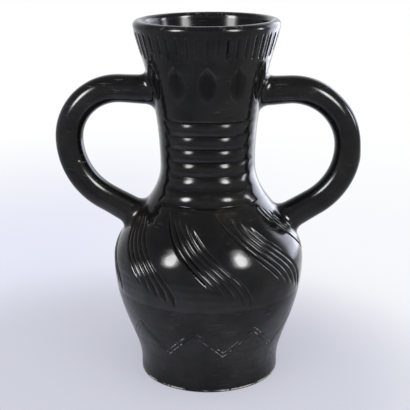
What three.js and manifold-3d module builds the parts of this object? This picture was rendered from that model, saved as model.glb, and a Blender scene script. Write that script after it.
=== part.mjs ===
// A two-handled ceramic vase, put together as a potter would: three thrown sections luted one
// on another, two rolled handles, the clay coils worked round the roots of the handles, and
// the coils pressed over the two seams inside. Millimetres, +Z up. The origin is the centre of
// the foot, on the surface that the vase stands on, and the handles reach out along X.
import * as THREE from "three";
import { mergeVertices } from "three/addons/utils/BufferGeometryUtils.js";
import Module from "manifold-3d";

const wasm = await Module();
wasm.setup();

// Outside of the pot: radius and height of each place where the wall stands upright
const potHeight = 380;
const footRadius = 74.3;
const footHeight = 11;
const girthRadius = 101.4;
const girthHeight = 128.6;
const waistRadius = 49.8;
const waistHeight = 231;
const mouthRadius = 69.8; // to the crest of the lip
const lipRoll = 5.5; // radius of the rolled lip
const mouthFlare = 0.2; // run for each unit of rise, just under the lip

// How far the wall runs upright at each of those places before it bends away
const footRise = 32.6;
const girthDrop = 56.4;
const girthRise = 41.5;
const waistDrop = 45.3;
const waistRise = 69;
const mouthDrop = 26;

// Clay thickness
const wallThickness = 8;
const floorThickness = 9;
const floorFillet = 12;

// Foot
const footBevel = 1.2;
const footRingWidth = 10;
const footRecess = 3;

// Seams between the thrown sections, each a tongue in a groove
const girthSeamHeight = 100;
const neckSeamHeight = 212;
const tongueWidth = 3.4;
const tongueDepth = 2.4;
const slipGap = 0.4; // clearance that the slip fills, at every joint

// Ribs pressed into the front and the back of the neck, their grooves spaced from the neck
// seam, with one more just under it. They run out before they come under the handles.
const ribGrooveCount = 5;
const ribPitch = 13.8;
const ribDepth = 2.2;
const ribRunOut = 4.5; // of the first and last groove, up and down
const ribsWhole = 38; // degrees either way from the front, and from the back
const ribsEnd = 64;

// Pointed leaves cut round the neck, each hollowed to a line down its middle. The places in
// line with the handles are left plain.
const leafPlaces = 12;
const leafHeight = 321;
const leafHalfHeight = 20;
const leafHalfWidth = 10;
const leafDepth = 1.6;
const leafTip = 3; // half the width at which a leaf's facets end

// Bundles of slanting flutes round the shoulder. Each flute in a bundle starts and ends lower
// than the one before it.
const fluteBundles = 8;
const flutesInBundle = 5;
const flutePlaces = 9; // widths of a flute from one bundle to the next
const fluteDepth = 2;
const fluteSwing = 45; // degrees that a flute swings on its way down
const fluteStart = 17; // below the neck seam
const fluteStartStep = 3;
const fluteStartRunOut = 16;
const fluteEnd = 34; // above the girth seam
const fluteEndStep = 5;
const fluteEndRunOut = 14;
const fluteSwingMargin = 5; // of the swing, from both seams
const rootPlain = 23; // radius of the plain wall round a handle's root
const rootCarved = 33; // and that from which the carving is whole

// Coils pressed over the seams inside
const seamCoilWidth = 11;
const seamCoilDepth = 2.6;

// Handles
const rodRadius = 14.8;
const upperRootRise = 3; // degrees that the rod climbs as it leaves the neck
const lowerRootDrop = 30.5; // degrees that the rod falls as it comes in to the shoulder
const leftBow = { side: -1, reach: 144.5, height: 257.8, upperBend: 52, lowerBend: 74 };
const rightBow = { side: 1, reach: 147.2, height: 247.2, upperBend: 60, lowerBend: 71 };

// Coils worked round the roots of the handles
const rootCoilAlongRod = 9;
const rootCoilOnWall = 6.5;
const rootCoilHollow = 0.3; // share of the way from the corner to the coil's straight face

// Fineness of the facets
const turns = 72;
const plainPlaces = 3; // columns between two bundles of flutes
const leafColumns = 4;
const baseRings = 9;
const shoulderRings = 12;
const leafRings = 6;
const flareRings = 4;
const envelopeTurns = 96;
const envelopeRings = 27;
const insideRings = 7;
const neckInsideRings = 9;
const lipSteps = 8;
const filletSteps = 3;
const rodQuarterSides = 5;
const rodSteps = 40;
const rootCoilTurns = 24;
const rootCoilSteps = 4;

const upright = new THREE.Vector2(0, 1);
const point = (radius, height) => new THREE.Vector2(radius, height);
const radians = THREE.MathUtils.degToRad;

// One stretch of the pot's side, leaving and arriving along the given directions.
function stretch(from, leave, to, arrive) {
  const nearFrom = from.clone().add(leave);
  const nearTo = to.clone().sub(arrive);
  return new THREE.CubicBezierCurve(from, nearFrom, nearTo, to);
}

const lipCentre = point(mouthRadius, potHeight - lipRoll);
const flareDirection = point(mouthFlare, 1).normalize();
const flareAngle = Math.atan(mouthFlare);
const underLip = point(
  lipCentre.x + lipRoll * Math.cos(flareAngle),
  lipCentre.y - lipRoll * Math.sin(flareAngle),
);
const footTop = point(footRadius, footHeight);
const girth = point(girthRadius, girthHeight);
const waist = point(waistRadius, waistHeight);
const along = (direction, length) => direction.clone().multiplyScalar(length);

const side = [
  stretch(footTop, along(upright, footRise), girth, along(upright, girthDrop)),
  stretch(girth, along(upright, girthRise), waist, along(upright, waistDrop)),
  stretch(waist, along(upright, waistRise), underLip, along(flareDirection, mouthDrop)),
];

// The value at which a rising function passes the target, by halving.
function solve(rising, target, low, high) {
  for (let i = 0; i < 48; i++) {
    const middle = (low + high) / 2;
    if (rising(middle) < target) low = middle;
    else high = middle;
  }
  return (low + high) / 2;
}

// Radius and outward direction of the pot's outer side at a height.
function outside(height) {
  if (height <= footTop.y) return { radius: footRadius, out: point(1, 0) };
  const curve = side.find((c) => height <= c.v3.y) ?? side.at(-1);
  const t = solve((s) => curve.getPoint(s).y, height, 0, 1);
  const climb = curve.getTangent(t);
  return { radius: curve.getPoint(t).x, out: point(climb.y, -climb.x) };
}
const outerRadius = (height) => outside(height).radius;

// The wall keeps one thickness as far as the waist, then thickens to meet the lip.
function thicknessAt(height) {
  const share = THREE.MathUtils.smoothstep(height, waistHeight, underLip.y);
  return THREE.MathUtils.lerp(wallThickness, 2 * lipRoll, share);
}

// Radius of the pot's inner side at a height.
function innerRadius(height) {
  const sunk = (h) => h - outside(h).out.y * thicknessAt(h);
  const reach = 2 * wallThickness + 2 * lipRoll;
  const h = solve(sunk, height, height - reach, Math.min(height + reach, underLip.y));
  const { radius, out } = outside(h);
  return radius - out.x * thicknessAt(h);
}

// Points of a side at evenly spaced heights, both ends included.
function rise(radiusAt, from, to, rings) {
  return Array.from({ length: rings + 1 }, (_, i) => {
    const height = THREE.MathUtils.lerp(from, to, i / rings);
    return point(radiusAt(height), height);
  });
}

// The V-shaped groove or tongue in the middle of a seam's edge, from its outer side inwards.
function seamEdge(height, lift) {
  const middle = (outerRadius(height) + innerRadius(height)) / 2;
  return [
    point(middle + tongueWidth / 2, height + lift),
    point(middle, height + lift - tongueDepth),
    point(middle - tongueWidth / 2, height + lift),
  ];
}

// Turns a profile about the pot's axis.
function turned(profile, count = turns) {
  return new THREE.LatheGeometry(profile, count).rotateX(Math.PI / 2);
}

// Turns a closed profile on a carving's own columns, and cuts the points of its outer side in.
// Angles are from the front towards the right handle. Each face is split along the diagonal
// that leans the way the flutes do.
function carved(profile, outerPoints, carving) {
  const { columns } = carving;
  const points = profile.length;
  const places = [];
  const faces = [];
  for (let column = 0; column < columns; column++) {
    profile.forEach((p, j) => {
      const angle = carving.angleAt(column, p.y);
      const radius = p.x - (j < outerPoints ? carving.depthAt(column, angle, p.y) : 0);
      places.push(radius * Math.sin(angle), -radius * Math.cos(angle), p.y);
      const above = (j + 1) % points;
      const here = column * points;
      const next = ((column + 1) % columns) * points;
      faces.push(here + j, next + j, next + above, here + j, next + above, here + above);
    });
  }
  const section = new THREE.BufferGeometry();
  section.setAttribute("position", new THREE.Float32BufferAttribute(places, 3));
  section.setIndex(faces);
  section.computeVertexNormals();
  return section;
}

// 1 from a low value to a high one, easing to 0 outside them.
function within(value, low, high, easeLow, easeHigh = easeLow) {
  const { smoothstep } = THREE.MathUtils;
  return smoothstep(value, low - easeLow, low) * (1 - smoothstep(value, high, high + easeHigh));
}

// Depth of the pressed ribs.
function ribDepthAt(angle, height) {
  const first = neckSeamHeight - ribPitch;
  const last = neckSeamHeight + ribGrooveCount * ribPitch;
  const round = Math.abs(Math.sin((Math.PI * (height - neckSeamHeight)) / ribPitch));
  const fromFront = Math.asin(Math.min(1, Math.abs(Math.sin(angle))));
  const across = within(fromFront, 0, radians(ribsWhole), 1, radians(ribsEnd - ribsWhole));
  return ribDepth * (1 - round) * across * within(height, first, last, ribRunOut);
}

const floorTop = footRecess + floorThickness;

function baseSection() {
  const faceOuter = footRadius - footBevel;
  const faceInner = faceOuter - footRingWidth;
  const filletTop = floorTop + floorFillet;
  const filletCentre = innerRadius(filletTop) - floorFillet;
  const fillet = Array.from({ length: filletSteps }, (_, i) => {
    const angle = (Math.PI / 2) * ((i + 1) / filletSteps);
    return point(
      filletCentre + floorFillet * Math.cos(angle),
      filletTop - floorFillet * Math.sin(angle),
    );
  });
  return turned([
    point(0, footRecess),
    point(faceInner - footRecess, footRecess),
    point(faceInner, 0),
    point(faceOuter, 0),
    point(footRadius, footBevel),
    ...rise(outerRadius, footHeight, girthSeamHeight, baseRings),
    ...seamEdge(girthSeamHeight, 0),
    ...rise(innerRadius, girthSeamHeight, filletTop, insideRings),
    ...fillet,
    point(0, floorTop),
  ]);
}

// Points of the outer side over the ribs: each groove, each crest, and the slopes between.
function ribPoints(fromHeight, pitches) {
  return rise(outerRadius, fromHeight, fromHeight + pitches * ribPitch, 4 * pitches);
}

// The lower roots of the handles, where the carving leaves the wall plain.
const lowerRoots = () => [leftBow, rightBow].map((bow) => wallMeeting(roots(bow).lower, 0, 0));

// The flutes: columns that swing round on the way down, one in every flute and every ridge.
function fluteCarving() {
  const inBundle = 2 * flutesInBundle + 1;
  const perBundle = inBundle + plainPlaces;
  const plainStep = (flutePlaces - flutesInBundle) / (plainPlaces + 1);
  const places = Array.from({ length: perBundle }, (_, k) =>
    k < inBundle ? 0.5 + k / 2 : 0.5 + flutesInBundle + (k - inBundle + 1) * plainStep,
  );
  const swingLow = girthSeamHeight + fluteSwingMargin;
  const swingHigh = neckSeamHeight - fluteSwingMargin;
  const plain = lowerRoots();
  return {
    columns: fluteBundles * perBundle,
    angleAt(column, height) {
      const turn = Math.floor(column / perBundle) + places[column % perBundle] / flutePlaces;
      const swing = 1 - THREE.MathUtils.smoothstep(height, swingLow, swingHigh);
      return (2 * Math.PI * turn) / fluteBundles + radians(fluteSwing) * swing;
    },
    depthAt(column, angle, height) {
      const place = places[column % perBundle];
      const number = place - 1;
      const isFlute = Number.isInteger(number) && number < flutesInBundle;
      const low = girthSeamHeight + fluteEnd - number * fluteEndStep;
      const high = neckSeamHeight - fluteStart - number * fluteStartStep;
      const run = within(height, low, high - fluteStartRunOut, fluteEndRunOut, fluteStartRunOut);
      const radius = outerRadius(height);
      const at = new THREE.Vector3(radius * Math.sin(angle), -radius * Math.cos(angle), height);
      const clear = plain.map((root) =>
        THREE.MathUtils.smoothstep(root.distanceTo(at), rootPlain, rootCarved),
      );
      const flute = isFlute ? fluteDepth * run * Math.min(...clear) : 0;
      return flute + ribDepthAt(angle, height);
    },
  };
}

// The leaves: each has a column down its middle, one along either edge and one beside it.
function leafCarving() {
  const share = (2 * Math.PI) / leafPlaces;
  const bow = (leafHalfHeight ** 2 + leafHalfWidth ** 2) / (2 * leafHalfWidth);
  const halfWidthAt = (height) => {
    const off = Math.min(Math.abs(height - leafHeight), leafHalfHeight);
    return Math.sqrt(bow ** 2 - off ** 2) - (bow - leafHalfWidth);
  };
  const inLine = (place) => place % (leafPlaces / 2) === leafPlaces / 4;
  const isLeafRow = (height) => Math.abs(height - leafHeight) <= leafHalfHeight + 1e-6;
  return {
    columns: leafPlaces * leafColumns,
    angleAt(column, height) {
      const place = Math.floor(column / leafColumns);
      const quarter = column % leafColumns;
      const even = share * (column / leafColumns);
      if (quarter % 2 === 0 || !isLeafRow(height)) return even;
      const leaf = quarter === 1 ? place : place + 1;
      if (inLine(leaf)) return even;
      const edge = Math.max(halfWidthAt(height), leafTip) / outerRadius(height);
      return share * leaf + (quarter === 1 ? edge : -edge);
    },
    depthAt(column, angle, height) {
      const middle = column % leafColumns === 0 && !inLine(column / leafColumns);
      const leaf = middle && isLeafRow(height) ? leafDepth * (halfWidthAt(height) / leafHalfWidth) : 0;
      return leaf + ribDepthAt(angle, height);
    },
  };
}

function shoulderSection() {
  const bottom = girthSeamHeight + slipGap;
  const underRibs = neckSeamHeight - 1.5 * ribPitch;
  const outer = [
    ...rise(outerRadius, bottom, underRibs, shoulderRings),
    ...ribPoints(underRibs, 1.5).slice(1),
  ];
  const profile = [
    ...outer,
    ...seamEdge(neckSeamHeight, 0),
    ...rise(innerRadius, neckSeamHeight, bottom, insideRings),
    ...seamEdge(girthSeamHeight, slipGap).reverse(),
  ];
  return carved(profile, outer.length, fluteCarving());
}

function neckSection() {
  const bottom = neckSeamHeight + slipGap;
  const ribTop = neckSeamHeight + ribGrooveCount * ribPitch;
  const leafLow = leafHeight - leafHalfHeight;
  const leafHigh = leafHeight + leafHalfHeight;
  const outer = [
    point(outerRadius(bottom), bottom),
    ...ribPoints(neckSeamHeight, ribGrooveCount).slice(1),
    ...rise(outerRadius, ribTop + ribRunOut, leafLow, 2),
    ...rise(outerRadius, leafLow, leafHigh, leafRings).slice(1),
    ...rise(outerRadius, leafHigh, underLip.y, flareRings).slice(1),
  ];
  const innerTop = lipCentre.y - lipRoll * Math.sin(flareAngle);
  const lip = Array.from({ length: lipSteps - 1 }, (_, i) => {
    const angle = -flareAngle + ((Math.PI + 2 * flareAngle) * (i + 1)) / lipSteps;
    return point(
      lipCentre.x + lipRoll * Math.cos(angle),
      lipCentre.y + lipRoll * Math.sin(angle),
    );
  });
  const profile = [
    ...outer,
    ...lip,
    ...rise(innerRadius, innerTop, bottom, neckInsideRings),
    ...seamEdge(neckSeamHeight, slipGap).reverse(),
  ];
  return carved(profile, outer.length, leafCarving());
}

// A coil pressed flat over a seam inside: its back follows the wall and its face is rounded.
function seamCoil(height) {
  const half = seamCoilWidth / 2;
  const back = rise((h) => innerRadius(h) - slipGap, height - half, height + half, 2);
  const face = [0.75, 0.5, 0.25].map((share) => {
    const h = height - half + share * seamCoilWidth;
    const swell = seamCoilDepth * Math.sin(Math.PI * share);
    return point(innerRadius(h) - slipGap - swell, h);
  });
  return turned([...back, ...face, back[0].clone()]);
}

// The rod's centre line as a flat drawing: out from the neck, round the bow, in to the shoulder.
function bowLine({ reach, height, upperBend, lowerBend }) {
  const climb = radians(upperRootRise);
  const fall = radians(lowerRootDrop);
  const upperCentre = point(reach - upperBend, height);
  const lowerCentre = point(reach - lowerBend, height);
  const outward = point(Math.cos(climb), Math.sin(climb));
  const inward = point(-Math.cos(fall), -Math.sin(fall));
  const bendStart = point(
    upperCentre.x - upperBend * Math.sin(climb),
    upperCentre.y + upperBend * Math.cos(climb),
  );
  const bendEnd = point(
    lowerCentre.x + lowerBend * Math.sin(fall),
    lowerCentre.y - lowerBend * Math.cos(fall),
  );
  return { upperCentre, lowerCentre, outward, inward, bendStart, bendEnd, climb, fall };
}

// That line in space, on its own side of the pot.
class BowPath extends THREE.Curve {
  constructor(bow) {
    super();
    const line = bowLine(bow);
    const start = line.bendStart.clone().addScaledVector(line.outward, -bow.upperBend);
    const end = line.bendEnd.clone().addScaledVector(line.inward, bow.lowerBend);
    const fallAngle = line.fall - Math.PI / 2;
    this.side = bow.side;
    this.drawing = new THREE.Path()
      .moveTo(start.x, start.y)
      .lineTo(line.bendStart.x, line.bendStart.y)
      .absarc(line.upperCentre.x, line.upperCentre.y, bow.upperBend, Math.PI / 2 + line.climb, 0, true)
      .absarc(line.lowerCentre.x, line.lowerCentre.y, bow.lowerBend, 0, fallAngle, true)
      .lineTo(end.x, end.y);
  }

  getPoint(t, target = new THREE.Vector3()) {
    const p = this.drawing.getPoint(t);
    return target.set(this.side * p.x, 0, p.y);
  }
}

// A closed geometry as a solid that can be cut, and a solid as a geometry again.
function solidOf(geometry) {
  const bare = geometry.clone().deleteAttribute("normal").deleteAttribute("uv");
  const merged = mergeVertices(bare, 1e-3);
  return new wasm.Manifold(
    new wasm.Mesh({
      numProp: 3,
      vertProperties: merged.getAttribute("position").array,
      triVerts: new Uint32Array(merged.index.array),
    }),
  );
}
function geometryOf(solid) {
  const mesh = solid.getMesh();
  return new THREE.BufferGeometry()
    .setAttribute("position", new THREE.BufferAttribute(mesh.vertProperties, 3))
    .setIndex(new THREE.BufferAttribute(mesh.triVerts, 1));
}

// Everything inside the pot's outer side, grown by the slip's clearance.
function potEnvelope() {
  const grown = (height) => (outerRadius(height) + slipGap) / Math.cos(Math.PI / envelopeTurns);
  const profile = [
    point(0, footHeight),
    ...rise(grown, footHeight, underLip.y, envelopeRings),
    point(0, underLip.y),
  ];
  return turned(profile, envelopeTurns);
}

function handle(bow) {
  const section = new THREE.Shape().absarc(0, 0, rodRadius, 0, 2 * Math.PI, false);
  const rod = new THREE.ExtrudeGeometry(section, {
    steps: rodSteps,
    curveSegments: 2 * rodQuarterSides,
    extrudePath: new BowPath(bow),
  });
  return geometryOf(solidOf(rod).subtract(solidOf(potEnvelope())));
}

// Where a straight line parallel to the rod, at a radius and angle about it, meets the wall.
function wallMeeting(root, radius, angle) {
  const across = new THREE.Vector3(0, 1, 0);
  const up = new THREE.Vector3().crossVectors(root.outward, across);
  const start = root.centre
    .clone()
    .addScaledVector(across, radius * Math.cos(angle))
    .addScaledVector(up, radius * Math.sin(angle));
  const at = (s) => start.clone().addScaledVector(root.outward, s);
  const clearOfWall = (s) => {
    const p = at(s);
    return Math.hypot(p.x, p.y) - outerRadius(p.z) - slipGap;
  };
  return at(solve(clearOfWall, 0, 0, root.reach));
}

// A coil worked into the corner between a rod and the wall, hollow towards the outside.
function rootCoil(root) {
  const near = rodRadius + slipGap;
  const sectionAt = (angle) => {
    const corner = wallMeeting(root, near, angle);
    const onRod = corner.clone().addScaledVector(root.outward, rootCoilAlongRod);
    const halfOnWall = wallMeeting(root, near + rootCoilOnWall / 2, angle);
    const onWall = wallMeeting(root, near + rootCoilOnWall, angle);
    const hollow = new THREE.QuadraticBezierCurve3(
      onWall,
      corner.clone().lerp(onRod.clone().lerp(onWall, 0.5), rootCoilHollow),
      onRod,
    );
    return [corner, halfOnWall, ...hollow.getPoints(rootCoilSteps)];
  };
  const corners = sectionAt(0).length;
  const ring = new THREE.TorusGeometry(2, 1, corners, rootCoilTurns);
  const position = ring.getAttribute("position");
  for (let i = 0; i <= rootCoilTurns; i++) {
    const around = (2 * Math.PI * (i % rootCoilTurns)) / rootCoilTurns;
    const section = sectionAt(around);
    for (let j = 0; j <= corners; j++) {
      const p = section[j % corners];
      position.setXYZ(j * (rootCoilTurns + 1) + i, p.x, p.y, p.z);
    }
  }
  return ring;
}

// The straight ends of a rod as the coils see them: a point well inside the pot on the centre
// line, the way out along the rod, and how far along it the wall is looked for.
function roots(bow) {
  const line = bowLine(bow);
  const inSpace = (p) => new THREE.Vector3(bow.side * p.x, 0, p.y);
  const rootOf = (bend, outward, inside) => ({
    centre: inSpace(bend.clone().addScaledVector(outward, -inside)),
    outward: inSpace(outward),
    reach: inside + rodRadius,
  });
  return {
    upper: rootOf(line.bendStart, line.outward, bow.upperBend),
    lower: rootOf(line.bendEnd, along(line.inward, -1), bow.lowerBend),
  };
}

const glaze = { color: 0x17171a, roughness: 0.16, metalness: 0 };

const vase = new THREE.Group();
vase.name = "two_handled_vase";
function add(name, geometry) {
  const mesh = new THREE.Mesh(geometry, new THREE.MeshStandardMaterial(glaze));
  mesh.name = name;
  vase.add(mesh);
}

add("base_section", baseSection());
add("shoulder_section", shoulderSection());
add("neck_section", neckSection());
add("girth_seam_coil", seamCoil(girthSeamHeight));
add("neck_seam_coil", seamCoil(neckSeamHeight));
for (const [name, bow] of [["left", leftBow], ["right", rightBow]]) {
  const { upper, lower } = roots(bow);
  add(`${name}_handle`, handle(bow));
  add(`${name}_upper_root_coil`, rootCoil(upper));
  add(`${name}_lower_root_coil`, rootCoil(lower));
}

export default vase;
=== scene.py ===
import bisect
import math

import bmesh
import bpy
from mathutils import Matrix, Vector
from mathutils.geometry import interpolate_bezier


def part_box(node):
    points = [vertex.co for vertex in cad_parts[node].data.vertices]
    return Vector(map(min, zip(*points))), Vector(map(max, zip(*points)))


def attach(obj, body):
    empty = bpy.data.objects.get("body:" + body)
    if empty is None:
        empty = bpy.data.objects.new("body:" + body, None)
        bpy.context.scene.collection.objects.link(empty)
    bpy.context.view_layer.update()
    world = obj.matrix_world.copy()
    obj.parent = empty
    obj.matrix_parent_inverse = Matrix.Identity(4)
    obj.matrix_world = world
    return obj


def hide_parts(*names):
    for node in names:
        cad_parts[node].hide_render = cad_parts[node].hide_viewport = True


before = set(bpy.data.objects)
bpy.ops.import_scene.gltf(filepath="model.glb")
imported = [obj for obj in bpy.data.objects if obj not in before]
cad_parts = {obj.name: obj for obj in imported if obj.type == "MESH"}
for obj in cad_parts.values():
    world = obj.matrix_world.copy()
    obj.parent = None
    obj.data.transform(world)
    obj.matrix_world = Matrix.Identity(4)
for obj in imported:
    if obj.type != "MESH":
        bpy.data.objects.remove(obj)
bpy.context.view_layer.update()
print("frame loaded:", len(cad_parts), "clay pieces")

mm = 0.001
fullTurn = 2 * math.pi
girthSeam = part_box("base_section")[1].z
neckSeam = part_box("shoulder_section")[1].z
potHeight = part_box("neck_section")[1].z
weld = {"tree": 1e-6, "mesh": 1e-7}
creaseAngle = math.radians(80)


# Node trees, written as sums

class Flow:
    def __init__(self, tree, socket):
        self.tree = tree
        self.socket = socket

    def math(self, operation, *others):
        made = self.tree.nodes.new("ShaderNodeMath")
        made.operation = operation
        for place, value in zip(made.inputs, (self, *others)):
            feed(self.tree, place, value)
        return Flow(self.tree, made.outputs[0])

    def __add__(self, other):
        return self.math("ADD", other)

    def __sub__(self, other):
        return self.math("SUBTRACT", other)

    def __mul__(self, other):
        return self.math("MULTIPLY", other)

    def __truediv__(self, other):
        return self.math("DIVIDE", other)

    def __pow__(self, other):
        return self.math("POWER", other)

    def away(self):  # distance from zero
        return self.math("ABSOLUTE")

    def above(self):  # nothing under zero
        return self.math("MAXIMUM", 0.0)

    def flipped(self):  # 0 becomes 1, and 1 becomes 0
        return self * -1.0 + 1.0

    def vector(self, operation, *others):
        made = self.tree.nodes.new("ShaderNodeVectorMath")
        made.operation = operation
        for place, value in zip(made.inputs, (self, *others)):
            feed(self.tree, place, value)
        out = "Value" if operation in ("LENGTH", "DISTANCE", "DOT_PRODUCT") else "Vector"
        return Flow(self.tree, made.outputs[out])

    def times(self, number):  # a vector made longer
        made = self.tree.nodes.new("ShaderNodeVectorMath")
        made.operation = "SCALE"
        feed(self.tree, made.inputs[0], self)
        feed(self.tree, made.inputs["Scale"], number)
        return Flow(self.tree, made.outputs["Vector"])

    def ramp(self, low, high, start=0.0, end=1.0):  # eases from start to end between low and high
        made = self.tree.nodes.new("ShaderNodeMapRange")
        made.interpolation_type = "SMOOTHSTEP"
        places = ("Value", "From Min", "From Max", "To Min", "To Max")
        for label, value in zip(places, (self, low, high, start, end)):
            feed(self.tree, made.inputs[label], value)
        return Flow(self.tree, made.outputs["Result"])

    def fall(self, low, high):  # eases from 1 to 0 between low and high
        return self.ramp(low, high, 1.0, 0.0)


def feed(tree, place, value):
    if isinstance(value, Flow):
        tree.links.new(value.socket, place)
    elif value is not None:
        place.default_value = value


def node(tree, kind, out=0, settings=None, **inputs):
    made = tree.nodes.new(kind)
    for name, value in (settings or {}).items():
        setattr(made, name, value)
    for name, value in inputs.items():
        feed(tree, made.inputs[name.replace("_", " ")], value)
    return Flow(tree, made.outputs[out])


# An input is a label with its value, or with the kind of socket where it has no value yet
def newTree(name, kind, inputs, outputs):
    tree = bpy.data.node_groups.new(name, kind)
    kinds = {float: "Float", int: "Int", tuple: "Color"}
    for label, value in inputs.items():
        sort = kinds.get(type(value), value)
        socket = tree.interface.new_socket(
            label, in_out="INPUT", socket_type="NodeSocket" + sort
        )
        if sort != value:
            socket.default_value = value
    for label, sort in outputs.items():
        tree.interface.new_socket(label, in_out="OUTPUT", socket_type="NodeSocket" + sort)
    given = tree.nodes.new("NodeGroupInput")
    result = tree.nodes.new("NodeGroupOutput")
    sockets = {label: Flow(tree, given.outputs[label]) for label in inputs}
    return tree, sockets, result


def shapeTree(name, inputs):
    return newTree(name, "GeometryNodeTree", inputs, {"Geometry": "Geometry"})


def parts(vector):
    tree = vector.tree
    split = tree.nodes.new("ShaderNodeSeparateXYZ")
    tree.links.new(vector.socket, split.inputs[0])
    return [Flow(tree, out) for out in split.outputs]


def joined(tree, x, y, z):
    return node(tree, "ShaderNodeCombineXYZ", X=x, Y=y, Z=z)


def noise(place, scale, detail=2.0, out="Fac"):
    return node(
        place.tree, "ShaderNodeTexNoise", out=out, Vector=place, Scale=scale, Detail=detail
    )


def between(value, low, high, ease):  # 1 between two values, easing off outside them
    return value.ramp(low - ease, low) * value.fall(high, high + ease)


def named(tree, label, kind="FLOAT"):  # what the mesh holds under a name
    settings = {"data_type": kind}
    return node(tree, "GeometryNodeInputNamedAttribute", settings=settings, Name=label)


def kept(shape, label, value, kind="FLOAT"):  # the mesh, holding a value under a name
    return node(
        shape.tree,
        "GeometryNodeStoreNamedAttribute",
        settings={"data_type": kind, "domain": "POINT"},
        Geometry=shape,
        Name=label,
        Value=value,
    )


def gridOf(tree, columns, rows):  # and the column and row of each of its points
    grid = node(tree, "GeometryNodeMeshGrid", out="Mesh", Vertices_X=columns, Vertices_Y=rows)
    index = node(tree, "GeometryNodeInputIndex")
    column = (index / rows).math("FLOOR")
    return grid, column, index - column * rows


def moved(shape, **move):  # to a Position, or by an Offset
    return node(shape.tree, "GeometryNodeSetPosition", Geometry=shape, **move)


def welded(shape):
    return node(
        shape.tree, "GeometryNodeMergeByDistance", Geometry=shape, Distance=weld["tree"]
    )


def endTree(shape, given, result):
    shape = node(shape.tree, "GeometryNodeRealizeInstances", Geometry=shape)
    shape = node(
        shape.tree, "GeometryNodeSetMaterial", Geometry=shape, Material=given["Glaze"]
    )
    feed(shape.tree, result.inputs["Geometry"], shape)


def addModifier(piece, tree, values):
    modifier = piece.modifiers.new(tree.name, "NODES")
    modifier.node_group = tree
    for item in tree.interface.items_tree:
        if item.item_type == "SOCKET" and item.in_out == "INPUT" and item.name in values:
            modifier[item.identifier] = values[item.name]


def addObject(name, data):
    made = bpy.data.objects.new(name, data)
    bpy.context.scene.collection.objects.link(made)
    return made


# The tree's result as a plain mesh that faces outwards
def bake(piece, name):
    graph = bpy.context.evaluated_depsgraph_get()
    mesh = bpy.data.meshes.new_from_object(
        piece.evaluated_get(graph), preserve_all_data_layers=True, depsgraph=graph
    )
    bpy.data.objects.remove(piece)
    work = bmesh.new()
    work.from_mesh(mesh)
    bmesh.ops.remove_doubles(work, verts=work.verts, dist=weld["mesh"])
    bmesh.ops.recalc_face_normals(work, faces=work.faces)
    work.to_mesh(mesh)
    work.free()
    mesh.shade_smooth()
    mesh.set_sharp_from_angle(angle=creaseAngle)
    return addObject(name, mesh)


def finishPiece(piece, cadNode):
    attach(piece, "root")
    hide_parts(cadNode)
    openEdges = sum(1 for count in edgeUse(piece.data) if count != 2)
    print(piece.name, "made:", len(piece.data.polygons), "faces,", openEdges, "open edges")


def edgeUse(mesh):
    use = [0] * len(mesh.edges)
    for loop in mesh.loops:
        use[loop.edge_index] += 1
    return use


# The pot's outer side: stations where the wall stands upright, and how far it runs so

potSide = {
    "footRadius": 74.3 * mm,
    "footHeight": 11 * mm,
    "footRise": 32.6 * mm,
    "girthRadius": 101.4 * mm,
    "girthHeight": 128.6 * mm,
    "girthDrop": 56.4 * mm,
    "girthRise": 41.5 * mm,
    "waistRadius": 49.8 * mm,
    "waistHeight": 231 * mm,
    "waistDrop": 45.3 * mm,
    "waistRise": 69 * mm,
    "mouthRadius": 69.8 * mm,
    "mouthDrop": 26 * mm,
    "mouthFlare": 0.2,
    "lipRoll": 5.5 * mm,
    "wall": 8 * mm,
    "curvePoints": 260,
}

flareAngle = math.atan(potSide["mouthFlare"])
lipCentre = Vector((potSide["mouthRadius"], 0, potHeight - potSide["lipRoll"]))


def onLip(angle):
    return lipCentre + potSide["lipRoll"] * Vector((math.cos(angle), 0, math.sin(angle)))


def outerSide():
    up = Vector((0, 0, 1))
    flare = Vector((potSide["mouthFlare"], 0, 1)).normalized()
    foot = Vector((potSide["footRadius"], 0, potSide["footHeight"]))
    girth = Vector((potSide["girthRadius"], 0, potSide["girthHeight"]))
    waist = Vector((potSide["waistRadius"], 0, potSide["waistHeight"]))
    underLip = onLip(-flareAngle)
    runs = (
        (foot, up * potSide["footRise"], girth, up * potSide["girthDrop"]),
        (girth, up * potSide["girthRise"], waist, up * potSide["waistDrop"]),
        (waist, up * potSide["waistRise"], underLip, flare * potSide["mouthDrop"]),
    )
    points = [Vector((potSide["footRadius"], 0, 0))]
    for start, leave, end, arrive in runs:
        count = potSide["curvePoints"]
        points += interpolate_bezier(start, start + leave, end - arrive, end, count)[:-1]
    return points + [underLip]


outerPoints = outerSide()
underLipHeight = outerPoints[-1].z


def pointAt(points, height):  # points climb, so the height finds the place between two
    heights = [p.z for p in points]
    i = min(max(bisect.bisect_right(heights, height), 1), len(points) - 1)
    low, high = points[i - 1], points[i]
    return low.lerp(high, (height - low.z) / (high.z - low.z))


def outerRadius(height):
    return pointAt(outerPoints, height).x


def facingAt(height):
    step = 0.2 * mm
    low = max(height - step, 0)
    high = min(height + step, underLipHeight)
    climb = Vector((outerRadius(high) - outerRadius(low), 0, high - low)).normalized()
    return Vector((climb.z, 0, -climb.x))


def thicknessAt(height):
    share = (height - potSide["waistHeight"]) / (underLipHeight - potSide["waistHeight"])
    share = min(max(share, 0), 1)
    share = share * share * (3 - 2 * share)
    return potSide["wall"] + share * (2 * potSide["lipRoll"] - potSide["wall"])


def innerSide():
    points = []
    for p in outerPoints[1:]:
        inner = p - facingAt(p.z) * thicknessAt(p.z)
        if not points or inner.z > points[-1].z:
            points.append(inner)
    return points


innerPoints = innerSide()


def innerRadius(height):
    return pointAt(innerPoints, height).x


# A profile is a chain of rows: radius, height, how much relief it takes, and the way it faces

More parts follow.
